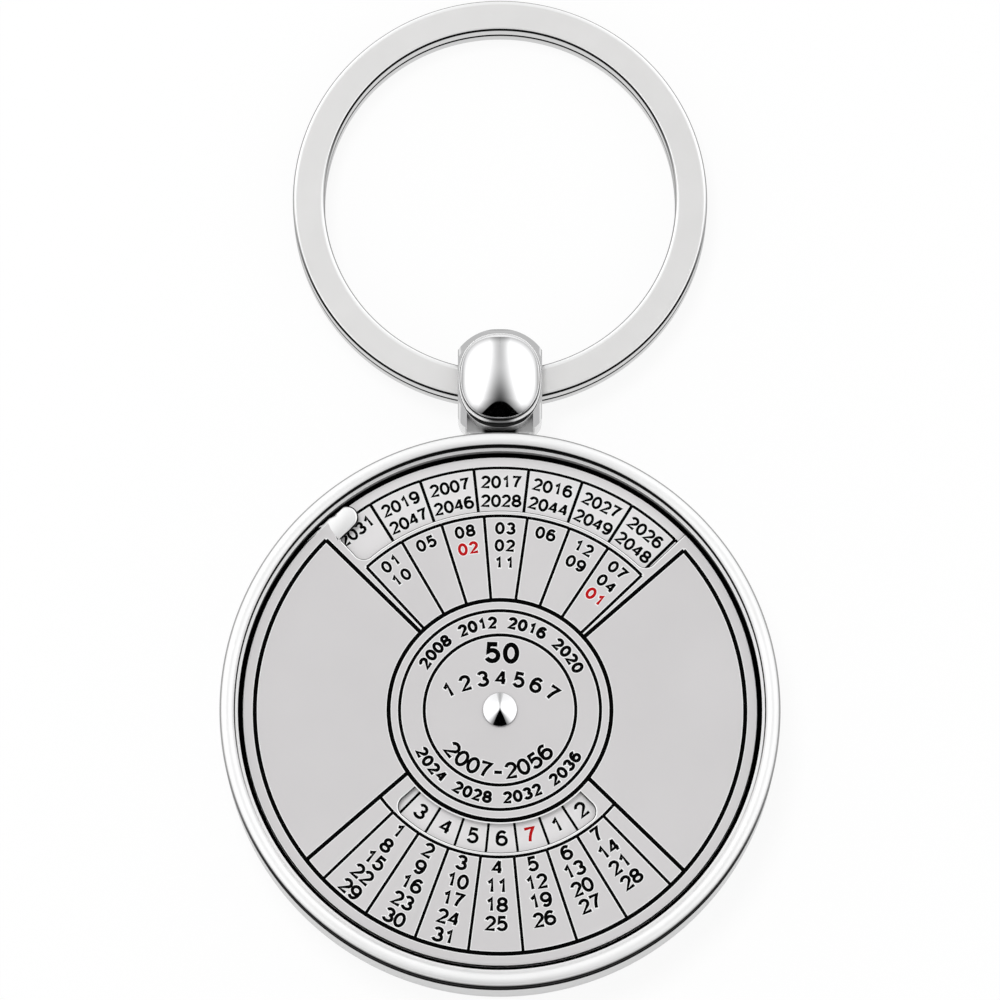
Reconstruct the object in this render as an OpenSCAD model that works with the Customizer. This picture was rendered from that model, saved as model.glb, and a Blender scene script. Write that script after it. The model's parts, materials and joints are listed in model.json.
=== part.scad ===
// Perpetual calendar keyring: a cast case with a turning calendar dial, a swivel link and a split ring.
// The case lies on its back. +Z comes out of the dial's face and +Y points to the key ring.
// The origin is the centre of the case's back, on the dial's axis. All sizes are in millimetres.

/* [Case] */
// Outer diameter of the case
case_d = 40; // [36:0.5:46]
// Height of the case, from its back to the crest of the rim
case_h = 6.6; // [6.2:0.1:8]
// Width of the rim, whose crest is a full round
rim_w = 1.1; // [0.8:0.1:1.6]
// Width of the bevel inside the rim
rim_bevel = 0.2; // [0.1:0.05:0.4]
// Depth of the dial's face below the crest of the rim
dial_depth = 1.15; // [0.9:0.05:1.5]
// Thickness of the back
back_t = 1.4; // [1:0.1:1.8]
// Width of the ledge that carries the base plate
ledge_w = 0.7; // [0.5:0.1:1.2]
// Radius of the cove that runs round the side under the rim
cove_r = 0.5; // [0.35:0.05:0.6]
// Depth of the cove
cove_depth = 0.3; // [0.15:0.05:0.35]
// Rounding of the back edge
foot_r = 0.5; // [0.2:0.1:0.9]

/* [Dial plates] */
// Thickness of the turning cover
cover_t = 0.45; // [0.35:0.05:0.6]
// Thickness of the fixed base plate
base_t = 0.5; // [0.4:0.05:0.7]
// Gap between the edge of the plates and the wall of the case
edge_gap = 0.3; // [0.2:0.05:0.4]
// Gap above and below the turning cover
turn_gap = 0.02; // [0.01:0.01:0.05]
// Turn of the cover at rest, clockwise below zero (degrees)
cover_turn = -1.7; // [-180:0.1:180]

/* [Windows of the cover] */
// Angle that the year window spans (degrees)
year_window_angle = 88.9; // [60:0.1:100]
// Depth of the year window, from the edge of the cover inward
year_window_depth = 3.95; // [3:0.05:5]
// Angle that the weekday window spans (degrees)
day_window_angle = 91.8; // [60:0.1:100]
// Inner radius of the weekday window
day_window_r = 8.05; // [7:0.05:9]
// Depth of the weekday window, from its inner radius outward
day_window_depth = 2.2; // [1.8:0.05:3.5]
// Corner radius of both windows
window_corner_r = 0.8; // [0.3:0.1:1]

/* [Finger nub of the cover] */
// Width of the nub, a tab of the cover that is bent up
nub_w = 1.7; // [1.4:0.1:2.2]
// Reach of the nub's round end into the year window
nub_reach = 2.2; // [1.2:0.1:3]
// Distance from the year window to the start of the nub's bend
nub_root_l = 0.6; // [0.3:0.1:1.5]
// Slope of the nub after its bend (degrees)
nub_slope = 13; // [8:1:16]
// Radius of the nub's bend
nub_bend_r = 2.5; // [1.5:0.1:4]

/* [Rivet and washers] */
// Diameter of the rivet's shank
rivet_d = 1.8; // [1.4:0.1:2]
// Diameter of the rivet's domed head
rivet_head_d = 2.4; // [2.2:0.1:3.2]
// Height of the rivet's domed head
rivet_head_h = 0.95; // [0.6:0.05:1.1]
// Diameter of the rivet's clenched tail
rivet_tail_d = 2.8; // [2.4:0.1:3.4]
// Height of the rivet's clenched tail
rivet_tail_h = 0.4; // [0.3:0.05:0.6]
// Diameter of the washer under the base plate
rivet_washer_d = 4.4; // [3.8:0.1:6]
// Thickness of the washer under the base plate
rivet_washer_t = 0.4; // [0.3:0.05:0.6]
// Diameter of the friction washer between the plates
friction_washer_d = 14; // [8:0.5:15]
// Thickness of the friction washer
friction_washer_t = 0.15; // [0.1:0.05:0.25]
// Radial clearance of the turning fits
turn_fit = 0.05; // [0.02:0.01:0.08]
// Radial clearance of the pressed and seated fits
seat_fit = 0.02; // [0.01:0.01:0.04]

/* [Swivel stud] */
// Diameter of the neck that the link turns on
stud_neck_d = 1.8; // [1.4:0.1:2]
// Diameter of the collar between case and link
stud_collar_d = 2.8; // [2.4:0.1:2.9]
// Length of the collar, which stands on a flat on the case
stud_collar_l = 0.4; // [0.3:0.05:1]
// Depth of that flat below the case's side
stud_flat_depth = 0.1; // [0.08:0.01:0.2]
// Diameter of the head inside the link
stud_head_d = 3; // [2.6:0.1:3.2]
// Height of the head inside the link
stud_head_h = 0.55; // [0.4:0.05:0.8]
// Diameter of the shank that is pressed into the case
stud_shank_d = 1.6; // [1.2:0.1:1.8]
// Length of the shank that is pressed into the case
stud_shank_l = 3.2; // [2:0.1:4]
// End play of the swivel, at the collar and at the head
swivel_gap = 0.05; // [0.03:0.01:0.1]

/* [Link] */
// Width of the link
link_w = 6.05; // [5.4:0.05:7]
// Thickness of the link's floor, which turns on the stud
link_floor_t = 0.9; // [0.6:0.05:1.2]
// Thickness of the bar beyond the eye
link_bar_t = 1.75; // [1.6:0.05:3]
// Thickness of the wall behind the eye
link_back_t = 0.75; // [0.6:0.05:1.2]
// Thickness of the wall in front of the eye
link_front_t = 0.5; // [0.4:0.05:1]
// Radius of the round top of the link's outline
link_round_r = 3.7; // [3.6:0.05:4.2]
// Rounding of the link's lower corners
link_corner_r = 1.1; // [0.4:0.1:1.4]
// Rounding of the link's long edges
link_edge_r = 0.2; // [0.1:0.05:0.4]
// Height of the dome above its drum
dome_h = 1.2; // [0.8:0.1:2]
// Step between the link's sides and the drum under the dome
dome_step = 0.25; // [0.1:0.01:0.4]
// Height of the drum above the link's front face
drum_h = 0.7; // [0.5:0.05:1]
// Radius of the cove round the foot of the drum
drum_cove_r = 0.3; // [0.1:0.05:0.35]
// Width of the collar round the drum
drum_collar_w = 0.6; // [0.4:0.05:0.8]
// Height of the collar above the link's front face
drum_collar_h = 0.15; // [0.1:0.05:0.25]
// Rounding of the collar's edge
collar_edge_r = 0.1; // [0.05:0.01:0.12]
// Width of the two legs beside the pocket under the dome
leg_w = 0.65; // [0.5:0.05:1.2]
// Depth of the pocket under the dome
pocket_depth = 1.3; // [0.6:0.1:1.4]
// Clearance of the split ring in the eye, over its whole swing
eye_gap = 0.28; // [0.2:0.01:0.4]
// Width of the bevel at the mouths of the eye
eye_bevel = 0.2; // [0.1:0.05:0.3]
// Height of the link's back above the table
link_lift = 0.1; // [0.05:0.05:0.5]

/* [Split ring] */
// Outer diameter of the split ring
ring_d = 30; // [25:0.5:35]
// Width of the flat strip that the ring is wound from
ring_band = 2.3; // [1.8:0.1:3]
// Thickness of one coil of the strip
coil_t = 1.26; // [0.8:0.02:1.5]
// Gap between the two coils
coil_gap = 0.08; // [0.04:0.02:0.2]
// Rounding of the strip's edges
strip_edge_r = 0.25; // [0.1:0.05:0.35]
// Angle over which the strip steps from one coil to the other (degrees)
step_angle = 16; // [12:1:20]
// Gap between the ring's far edge and the table, where it lies
ring_lift = 0.05; // [0.02:0.01:0.1]

/* [Hidden] */
$fn = 96;

// Overlap of a cutting body past the face that it cuts
cut = 1;
// Bite of a window's round corners past the sides that they join
corner_bite = 0.01;
// Depth of the nub's bend below the cover's face, where it starts
bend_bite = 0.02;
// Share of the sloped stretch in the ring's step, the rest of the step is level
step_slope_share = 0.8;
// Angle by which the step's level ends lap into the coils
step_lap = 1;

case_r = case_d / 2;
recess_r = case_r - rim_w - rim_bevel;
cavity_r = recess_r - ledge_w;
plate_r = recess_r - edge_gap;
rim_round_r = rim_w / 2;
rim_centre_z = case_h - rim_round_r;
cove_centre_z = rim_centre_z - rim_round_r - cove_r;

face_z = case_h - dial_depth;
cover_z = face_z - cover_t;
friction_washer_z = cover_z - turn_gap - friction_washer_t;
ledge_z = friction_washer_z - base_t;
rivet_washer_z = ledge_z - rivet_washer_t;

ring_r = ring_d / 2;
ring_inner_r = ring_r - ring_band;
ring_t = 2 * coil_t + coil_gap;
// The strip bows inside the eye, so its inner edge reaches further at the link's sides
ring_bow = ring_inner_r - sqrt(pow(ring_inner_r, 2) - pow(link_w / 2, 2));
ring_reach = (ring_band + ring_bow) / 2;
ring_axis_r = ring_r - ring_reach;
ring_sweep_r = norm([ring_reach - strip_edge_r, ring_t / 2 - strip_edge_r]) + strip_edge_r;

eye_r = ring_sweep_r + eye_gap;
link_y = case_r - stud_flat_depth + stud_collar_l + swivel_gap;
head_y = link_y + link_floor_t + swivel_gap;
eye_y = head_y + stud_head_h + swivel_gap + eye_r;
link_l = eye_y + eye_r + link_bar_t - link_y;
link_t = link_back_t + 2 * eye_r + link_front_t;
axis_z = link_lift + link_back_t + eye_r;
dome_r = link_w / 2 - dome_step;
collar_r = dome_r + drum_collar_w;
// The dome stands on the centre of the link's round top
round_y = link_l - link_round_r;
dome_ball_r = (pow(dome_r, 2) + pow(dome_h, 2)) / (2 * dome_h);

// The ring leans on the table with its far edge
ring_lean = asin((axis_z - ring_t / 2 - ring_lift) / (ring_r + ring_axis_r));

// A rectangle with its lower left corner at the origin and round corners
module rounded_rectangle(w, l, r) {
    translate([r, 0]) square([w - 2 * r, l]);
    translate([0, r]) square([w, l - 2 * r]);
    for (x = [r, w - r], y = [r, l - r]) translate([x, y]) circle(r);
}

// A slice of a flat band between two radii, spanning an angle about the +Y direction
module band_slice(inner_r, outer_r, angle) {
    reach = 2 * outer_r;
    intersection() {
        difference() {
            circle(outer_r);
            circle(inner_r);
        }
        polygon([
            [0, 0],
            [-reach * sin(angle / 2), reach * cos(angle / 2)],
            [0, reach],
            [reach * sin(angle / 2), reach * cos(angle / 2)]
        ]);
    }
}

// A window between two radii, with a pair of round corners at its inner side or at its outer side
module round_window(inner_r, outer_r, angle, inside) {
    inset = window_corner_r - corner_bite;
    centre_r = inside ? inner_r + inset : outer_r - inset;
    corner_angle = asin(inset / centre_r);
    side_r = sqrt(pow(centre_r, 2) - pow(inset, 2));
    band_slice(inner_r, outer_r, angle - 2 * corner_angle);
    band_slice(inside ? side_r : inner_r, inside ? outer_r : side_r, angle);
    for (side = [-1, 1]) rotate([0, 0, 90 + side * (angle / 2 - corner_angle)])
        translate([centre_r, 0]) circle(window_corner_r);
}

// A washer that stands on a height
module washer(outer_r, inner_r, low_z, t) {
    translate([0, 0, low_z]) difference() {
        cylinder(r = outer_r, h = t);
        translate([0, 0, -cut]) cylinder(r = inner_r, h = t + 2 * cut);
    }
}

// Half of the section through the case: back, side wall with foot and cove, ledge and full-round rim
module case_section() {
    difference() {
        union() {
            square([case_r - foot_r, rim_centre_z]);
            translate([0, foot_r]) square([case_r, rim_centre_z - foot_r]);
            translate([case_r - foot_r, foot_r]) circle(foot_r);
            translate([case_r - rim_round_r, rim_centre_z]) circle(rim_round_r);
        }
        translate([case_r + cove_r - cove_depth, cove_centre_z]) circle(cove_r);
        translate([0, back_t]) square([cavity_r, case_h]);
        translate([0, ledge_z]) square([recess_r, case_h]);
        polygon([
            [0, rim_centre_z - rim_bevel],
            [recess_r, rim_centre_z - rim_bevel],
            [recess_r + rim_bevel, rim_centre_z],
            [0, rim_centre_z]
        ]);
    }
}

// The lug inside the wall that the swivel stud is pressed into
module stud_lug() {
    lug_end_y = case_r - stud_flat_depth - stud_shank_l - stud_shank_d / 2;
    translate([-stud_collar_d / 2, lug_end_y, back_t / 2])
        cube([stud_collar_d, cavity_r + ledge_w / 2 - lug_end_y, ledge_z - back_t / 2]);
}

module case() {
    flat_y = case_r - stud_flat_depth;
    color("silver") difference() {
        union() {
            rotate_extrude() case_section();
            stud_lug();
        }
        translate([0, flat_y, axis_z]) rotate([90, 0, 0])
            cylinder(d = stud_shank_d + 2 * seat_fit, h = stud_shank_l + seat_fit);
        translate([0, flat_y, axis_z]) rotate([-90, 0, 0])
            cylinder(d = stud_collar_d + 2 * turn_fit, h = cut);
    }
}

module base_disc() {
    color("gainsboro") washer(plate_r, rivet_d / 2 + seat_fit, ledge_z, base_t);
}

module friction_washer() {
    hole_r = rivet_d / 2 + turn_fit;
    color("dimgray") washer(friction_washer_d / 2, hole_r, friction_washer_z, friction_washer_t);
}

// The finger nub: a tab that starts on the cover, bends up and ends round over the year window
module nub() {
    nub_r = nub_w / 2;
    rim_clear_r = plate_r + edge_gap / 3;
    flat_l = nub_reach + nub_root_l - nub_bend_r * sin(nub_slope);
    intersection() {
        rotate([0, 0, 90 + year_window_angle / 2])
            translate([rim_clear_r - nub_r, nub_root_l, face_z - bend_bite + nub_bend_r]) {
                rotate([0, -90, 0]) rotate([0, 0, 180]) rotate_extrude(angle = nub_slope)
                    translate([nub_bend_r, -nub_r]) square([cover_t - bend_bite, nub_w]);
                rotate([-nub_slope, 0, 0]) translate([0, 0, -nub_bend_r - cover_t + bend_bite])
                    linear_extrude(cover_t - bend_bite) {
                        translate([-nub_r, nub_r - flat_l]) square([nub_w, flat_l - nub_r]);
                        translate([0, nub_r - flat_l]) circle(nub_r);
                    }
            }
        translate([0, 0, cover_z]) cylinder(r = rim_clear_r, h = cover_t + nub_reach);
    }
}

// The cover's outline: a disc with the year window, open to its edge, and the weekday window
module cover_outline() {
    difference() {
        circle(plate_r);
        circle(rivet_d / 2 + turn_fit);
        round_window(plate_r - year_window_depth, plate_r + cut, year_window_angle, true);
        rotate([0, 0, 180])
            round_window(day_window_r, day_window_r + day_window_depth, day_window_angle, false);
    }
}

module dial_cover() {
    color("lightgray") rotate([0, 0, cover_turn]) {
        translate([0, 0, cover_z]) linear_extrude(cover_t) cover_outline();
        nub();
    }
}

module pivot_rivet() {
    head_z = face_z + turn_gap;
    head_r = rivet_head_d / 2;
    ball_r = (pow(head_r, 2) + pow(rivet_head_h, 2)) / (2 * rivet_head_h);
    tail_z = rivet_washer_z - rivet_tail_h;
    color("white") {
        intersection() {
            translate([0, 0, head_z + rivet_head_h - ball_r]) sphere(ball_r);
            translate([0, 0, head_z]) cylinder(r = head_r + cut, h = rivet_head_h + cut);
        }
        translate([0, 0, tail_z]) cylinder(d = rivet_d, h = head_z - tail_z + turn_gap);
        translate([0, 0, tail_z]) cylinder(d = rivet_tail_d, h = rivet_tail_h);
    }
}

module rivet_washer() {
    color("goldenrod") washer(rivet_washer_d / 2, rivet_d / 2 + seat_fit, rivet_washer_z, rivet_washer_t);
}

module swivel_stud() {
    flat_y = case_r - stud_flat_depth;
    color("gray") translate([0, 0, axis_z]) rotate([-90, 0, 0]) {
        translate([0, 0, flat_y - stud_shank_l]) cylinder(d = stud_shank_d, h = stud_shank_l + stud_collar_l);
        translate([0, 0, flat_y]) cylinder(d = stud_collar_d, h = stud_collar_l);
        translate([0, 0, flat_y]) cylinder(d = stud_neck_d, h = head_y + stud_head_h - flat_y);
        translate([0, 0, head_y]) cylinder(d = stud_head_d, h = stud_head_h);
    }
}

// The link's outline from the front: round top, straight sides, round lower corners
module link_front_outline() {
    intersection() {
        union() {
            translate([0, round_y]) circle(link_round_r);
            translate([-link_w / 2, 0]) rounded_rectangle(link_w, round_y + link_corner_r, link_corner_r);
        }
        translate([-link_w / 2, -cut]) square([link_w, link_l + 2 * cut]);
    }
}

// The link's outline from the side: round edges at the top, crisp ones at the floor
module link_side_outline() {
    intersection() {
        translate([-cut, 0]) rounded_rectangle(link_l + cut, link_t, link_edge_r);
        square([link_l, link_t]);
    }
}

// Half of the section through the dome, its drum and the collar, on the link's front face
module dome_section() {
    cove_w = drum_cove_r - corner_bite;
    translate([0, -link_front_t]) square([dome_r, link_front_t + drum_h]);
    intersection() {
        translate([0, drum_h + dome_h - dome_ball_r]) circle(dome_ball_r);
        translate([0, drum_h]) square([dome_r, dome_h + cut]);
    }
    difference() {
        square([dome_r + cove_w, drum_collar_h + cove_w]);
        translate([dome_r + cove_w, drum_collar_h + cove_w]) circle(drum_cove_r);
    }
    translate([0, -link_front_t]) square([collar_r, link_front_t + drum_collar_h - collar_edge_r]);
    square([collar_r - collar_edge_r, drum_collar_h]);
    translate([collar_r - collar_edge_r, drum_collar_h - collar_edge_r]) circle(collar_edge_r);
}

// The link without its openings: three outlines crossed, with the dome in front
module link_blank() {
    intersection() {
        linear_extrude(link_t) link_front_outline();
        translate([-link_w, 0, 0]) rotate([90, 0, 90]) linear_extrude(2 * link_w) link_side_outline();
        translate([-link_w / 2, link_l + cut, 0]) rotate([90, 0, 0])
            linear_extrude(link_l + 2 * cut) rounded_rectangle(link_w, link_t, link_edge_r);
    }
    intersection() {
        translate([0, round_y, link_t]) rotate_extrude() dome_section();
        translate([-link_w / 2, 0, 0]) cube([link_w, link_l, link_t + drum_h + dome_h + cut]);
    }
}

// The pocket under the dome, between the legs
module link_pocket() {
    pocket_w = link_w - 2 * leg_w;
    translate([0, 0, link_t - pocket_depth]) linear_extrude(pocket_depth + cut) difference() {
        translate([-pocket_w / 2, -cut]) square([pocket_w, round_y + cut]);
        translate([0, round_y]) circle(collar_r);
    }
}

// The eye across the link, bevelled at both mouths
module link_eye() {
    rotate([0, 90, 0]) {
        cylinder(r = eye_r, h = link_w + 2 * cut, center = true);
        for (side = [0, 180]) rotate([side, 0, 0]) translate([0, 0, link_w / 2 - eye_bevel])
            cylinder(r1 = eye_r, r2 = eye_r + eye_bevel + cut, h = eye_bevel + cut);
    }
}

module link_body() {
    neck_hole_d = stud_neck_d + 2 * turn_fit;
    head_room_r = stud_head_d / 2 + 4 * turn_fit;
    floor_y = link_y + link_floor_t;
    color("white") difference() {
        translate([0, link_y, link_lift]) difference() {
            link_blank();
            link_pocket();
        }
        translate([0, eye_y, axis_z]) link_eye();
        translate([0, 0, axis_z]) rotate([-90, 0, 0]) {
            translate([0, 0, link_y - cut]) cylinder(d = neck_hole_d, h = link_floor_t + 2 * cut);
            translate([0, 0, floor_y]) cylinder(r = head_room_r, h = eye_y - floor_y);
        }
    }
}

// The section of the flat strip, standing on a height
module strip_section(low_z) {
    translate([ring_inner_r, low_z]) rounded_rectangle(ring_band, coil_t, strip_edge_r);
}

// One coil, open where the strip steps over
module coil(low_z) {
    rotate([0, 0, -90 + step_angle / 2]) rotate_extrude(angle = 360 - step_angle) strip_section(low_z);
}

// The step from the lower coil on the left to the upper coil on the right
module coil_step() {
    rise = coil_t + coil_gap;
    half_run = ring_inner_r * sin(step_angle / 2) * step_slope_share;
    intersection() {
        rotate([0, 0, 180]) linear_extrude(ring_t)
            band_slice(ring_inner_r, ring_r, step_angle + 2 * step_lap);
        rotate([90, 0, 0]) linear_extrude(ring_d) polygon([
            [-ring_r, 0],
            [-half_run, 0],
            [half_run, rise],
            [ring_r, rise],
            [ring_r, rise + coil_t],
            [half_run, rise + coil_t],
            [-half_run, coil_t],
            [-ring_r, coil_t]
        ]);
    }
}

module split_ring() {
    color("silver") translate([0, eye_y, axis_z]) rotate([-ring_lean, 0, 0])
        translate([0, ring_axis_r, -ring_t / 2]) {
            coil(0);
            coil(coil_t + coil_gap);
            coil_step();
        }
}

case();
base_disc();
friction_washer();
dial_cover();
pivot_rivet();
rivet_washer();
swivel_stud();
link_body();
split_ring();
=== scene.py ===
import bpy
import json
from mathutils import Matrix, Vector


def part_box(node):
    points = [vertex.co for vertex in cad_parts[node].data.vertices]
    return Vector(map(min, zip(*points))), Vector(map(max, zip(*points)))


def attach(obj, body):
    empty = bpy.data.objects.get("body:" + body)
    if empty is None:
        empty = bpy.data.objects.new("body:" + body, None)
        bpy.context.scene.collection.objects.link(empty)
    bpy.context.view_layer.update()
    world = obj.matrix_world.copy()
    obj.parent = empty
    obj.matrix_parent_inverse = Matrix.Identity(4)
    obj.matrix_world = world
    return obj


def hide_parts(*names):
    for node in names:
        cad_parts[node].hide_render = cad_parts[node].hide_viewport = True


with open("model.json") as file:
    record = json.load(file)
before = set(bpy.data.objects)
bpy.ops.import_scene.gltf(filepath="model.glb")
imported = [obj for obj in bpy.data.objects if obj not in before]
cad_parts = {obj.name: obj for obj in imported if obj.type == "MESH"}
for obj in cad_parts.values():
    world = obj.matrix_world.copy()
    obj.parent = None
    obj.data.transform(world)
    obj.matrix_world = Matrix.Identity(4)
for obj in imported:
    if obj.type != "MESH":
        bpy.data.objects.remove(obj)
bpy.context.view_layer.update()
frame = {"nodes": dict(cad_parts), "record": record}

import datetime
import json
import math
from collections import namedtuple

import bmesh
import bpy
from mathutils import Matrix, Vector

# Perpetual calendar keyring: clean round surfaces, finishes, printed tables, light, floor and camera.
# Lengths are in millimetres and turn into metres with MM.
# Angles on the dial are in degrees, clockwise from the ring's side.

MM = 0.001

# Heights that come from the frame
COVER_T = 0.45
face_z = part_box("dial_cover")[0].z / MM + COVER_T
base_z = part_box("base_disc")[1].z / MM

# Sizes that the printed tables share
COVER_TURN = 1.7
WEEK = 7
COLUMNS = 28
COLUMN_PITCH = 360 / COLUMNS
MIDDLE_COLUMN = 3
HUB_RING_R = 7.95
LINE_W = 0.22
INK_T = 0.02
UNDERLAY_T = 0.01
INK_SUNK = 0.02
UNDERLAY_MARGIN = 0.09
ARC_STEP = 1.5
TINY = 1e-6


def polar(r, angle):
    """A point of the dial at a radius and a clockwise angle from the ring's side."""
    a = math.radians(angle)
    return Vector((r * math.sin(a), r * math.cos(a)))


def arc(r, start, end):
    """Points along an arc about the dial's axis."""
    count = max(2, math.ceil(abs(end - start) / ARC_STEP))
    return [polar(r, start + (end - start) * i / count) for i in range(count + 1)]


def ring(r):
    """Points round a whole circle, the first one not repeated."""
    return arc(r, 0, 360)[:-1]


def oval(cx, cy, rx, ry, start, end, step=12):
    """Points along a part of an ellipse, anticlockwise from the right."""
    count = max(4, math.ceil(abs(end - start) / step))
    turns = [math.radians(start + (end - start) * i / count) for i in range(count + 1)]
    return [(cx + rx * math.cos(t), cy + ry * math.sin(t)) for t in turns]


def bow(start, control, end, count=8):
    """Points along a quadratic curve."""
    points = []
    for i in range(count + 1):
        t = i / count
        points.append(tuple(
            (1 - t) ** 2 * a + 2 * t * (1 - t) * b + t * t * c for a, b, c in zip(start, control, end)
        ))
    return points


# Centre lines of the numerals, in a box from 0 to 1
SIX = [
    oval(0.5, 0.31, 0.5, 0.31, 90, 450),
    oval(0.54, 0.5, 0.54, 0.5, 48, 180) + [(0, 0.31)],
]
NUMERALS = {
    "0": [oval(0.5, 0.5, 0.5, 0.5, 90, 450)],
    "1": [[(0.16, 0.75), (0.42, 0.85), (0.6, 1), (0.6, 0)]],
    "2": [oval(0.5, 0.71, 0.46, 0.29, 168, -40) + [(0.03, 0), (1, 0)]],
    "3": [oval(0.47, 0.755, 0.42, 0.245, 160, -90), oval(0.47, 0.255, 0.5, 0.255, 90, -165)],
    "4": [[(0.74, 0), (0.74, 1)], [(0.74, 0.98), (0.02, 0.29), (1, 0.29)]],
    "5": [[(0.9, 1), (0.2, 1)] + oval(0.49, 0.32, 0.5, 0.32, 140, -155)],
    "6": SIX,
    "7": [[(0, 1)] + bow((1, 1), (0.45, 0.55), (0.33, 0))],
    "8": [oval(0.5, 0.755, 0.42, 0.245, 90, 450), oval(0.5, 0.255, 0.5, 0.255, 90, 450)],
    "9": [[(1 - x, 1 - y) for x, y in trace] for trace in SIX],
    "-": [[(0.1, 0.42), (0.9, 0.42)]],
}
NUMERAL_ASPECT = 0.7
NUMERAL_ADVANCE = 0.86


def number(text, centre, angle, height, weight, inward=False, spread=1.0):
    """Strokes of a number whose middle lies at a point, standing out from the dial's axis or towards it.
    The weight is the pen's width as a share of the height."""
    side = -1 if inward else 1
    up = side * polar(1, angle)
    along = Vector((up.y, -up.x))
    pen = weight * height
    tall = height - pen
    wide = tall * NUMERAL_ASPECT
    pitch = height * NUMERAL_ADVANCE * spread
    strokes = []
    for i, digit in enumerate(text):
        left = (i - (len(text) - 1) / 2) * pitch - wide / 2
        for trace in NUMERALS[digit]:
            points = [centre + along * (left + x * wide) + up * ((y - 0.5) * tall) for x, y in trace]
            closed = (points[0] - points[-1]).length < TINY
            strokes.append((points[:-1] if closed else points, pen, closed))
    return strokes


def number_at(text, r, angle, height, weight, **kw):
    return number(text, polar(r, angle), angle, height, weight, **kw)


def line(points, width=LINE_W, closed=False):
    return (points, width, closed)


MITER_LIMIT = 1.5
LEAST_COSINE = 0.1
# Height of a stroke's edge as a share of its crown
EDGE_SHARE = 0.6


def add_stroke(bm, points, width, closed, low, high, grow):
    """A raised line of a constant width along points, with side walls and a low crown."""
    half = width / 2 + grow
    last = len(points) - 1
    edge_z = low + (high - low) * EDGE_SHARE
    profile = [(1, low), (1, edge_z), (0, high), (-1, edge_z), (-1, low)]
    rows = []
    for i, p in enumerate(points):
        into = (p - points[i - 1]).normalized() if i > 0 or closed else None
        out = (points[(i + 1) % len(points)] - p).normalized() if i < last or closed else None
        a, b = into or out, out or into
        normal_a, normal_b = Vector((-a.y, a.x)), Vector((-b.y, b.x))
        middle = normal_a + normal_b
        normal = middle.normalized() if middle.length > TINY else normal_a
        reach = half * min(1 / max(normal.dot(normal_a), LEAST_COSINE), MITER_LIMIT)
        if into is None:
            p = p - out * grow
        if out is None:
            p = p + into * grow
        spots = [(p + normal * (side * reach), z) for side, z in profile]
        rows.append([bm.verts.new((q.x * MM, q.y * MM, z * MM)) for q, z in spots])
    for i in range(len(rows) if closed else last):
        here, there = rows[i], rows[(i + 1) % len(rows)]
        for k in range(len(profile) - 1):
            bm.faces.new((here[k], here[k + 1], there[k + 1], there[k]))
    if not closed:
        bm.faces.new(rows[0][::-1])
        bm.faces.new(rows[-1])


def new_object(name, data):
    piece = bpy.data.objects.new(name, data)
    bpy.context.scene.collection.objects.link(piece)
    return piece


def mesh_piece(name, bm, material, body, smooth=False):
    """An object from a mesh under construction, riding on a body."""
    bmesh.ops.recalc_face_normals(bm, faces=bm.faces)
    mesh = bpy.data.meshes.new(name)
    bm.to_mesh(mesh)
    bm.free()
    mesh.materials.append(material)
    for p in mesh.polygons:
        p.use_smooth = smooth
    piece = new_object(name, mesh)
    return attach(piece, body)


def print_piece(name, strokes, z, material, body, grow=0.0, thick=INK_T):
    """One print on a plate: all strokes in one mesh."""
    bm = bmesh.new()
    for points, width, closed in strokes:
        add_stroke(bm, points, width, closed, z - INK_SUNK, z + thick, grow)
    return mesh_piece(name, bm, material, body)


def turned(strokes, angle):
    """The strokes turned clockwise about the dial's axis."""
    a = math.radians(angle)
    turn = Matrix(((math.cos(a), math.sin(a)), (-math.sin(a), math.cos(a))))
    return [([turn @ p for p in points], width, closed) for points, width, closed in strokes]


# Node helpers


def feed(tree, socket, value):
    """Links a socket to a node's output, or sets it to a number or a colour."""
    if hasattr(value, "is_linked"):
        tree.links.new(value, socket)
    else:
        socket.default_value = value


def math_node(tree, operation, a, b=0.0):
    node = tree.nodes.new("ShaderNodeMath")
    node.operation = operation
    feed(tree, node.inputs[0], a)
    feed(tree, node.inputs[1], b)
    return node.outputs[0]


def product(tree, first, *others):
    for value in others:
        first = math_node(tree, "MULTIPLY", first, value)
    return first


def line_of(tree, value, slope, start):
    """A straight function of a value."""
    return math_node(tree, "ADD", math_node(tree, "MULTIPLY", value, slope), start)


def length_of(tree, a, b):
    """The length of a vector with two parts."""
    squares = math_node(tree, "ADD", product(tree, a, a), product(tree, b, b))
    return math_node(tree, "SQRT", squares)


def clamped(tree, value, low, high):
    return math_node(tree, "MINIMUM", math_node(tree, "MAXIMUM", value, low), high)


def map_range(tree, value, low, high, to_low, to_high, kind="LINEAR"):
    node = tree.nodes.new("ShaderNodeMapRange")
    node.interpolation_type = kind
    settings = (("From Min", low), ("From Max", high), ("To Min", to_low), ("To Max", to_high))
    for name, setting in settings:
        feed(tree, node.inputs[name], setting)
    tree.links.new(value, node.inputs["Value"])
    return node.outputs["Result"]


def ease(tree, value, low, high, to_low=0.0, to_high=1.0):
    """A smooth step of a value from one level to another."""
    return map_range(tree, value, low, high, to_low, to_high, "SMOOTHSTEP")


SOFT = 0.03


def above(tree, value, level, soft=SOFT):
    """A soft mask of where a value lies above a level."""
    return ease(tree, value, level - soft, level + soft)


def below(tree, value, level, soft=SOFT):
    """A soft mask of where a value lies below a level."""
    return ease(tree, value, level - soft, level + soft, 1.0, 0.0)


def mix(tree, factor, a, b, kind="FLOAT"):
    node = tree.nodes.new("ShaderNodeMix")
    node.data_type = kind
    feed(tree, node.inputs["Factor"], factor)
    feed(tree, node.inputs["A"], a)
    feed(tree, node.inputs["B"], b)
    return node.outputs["Result"]


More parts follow.
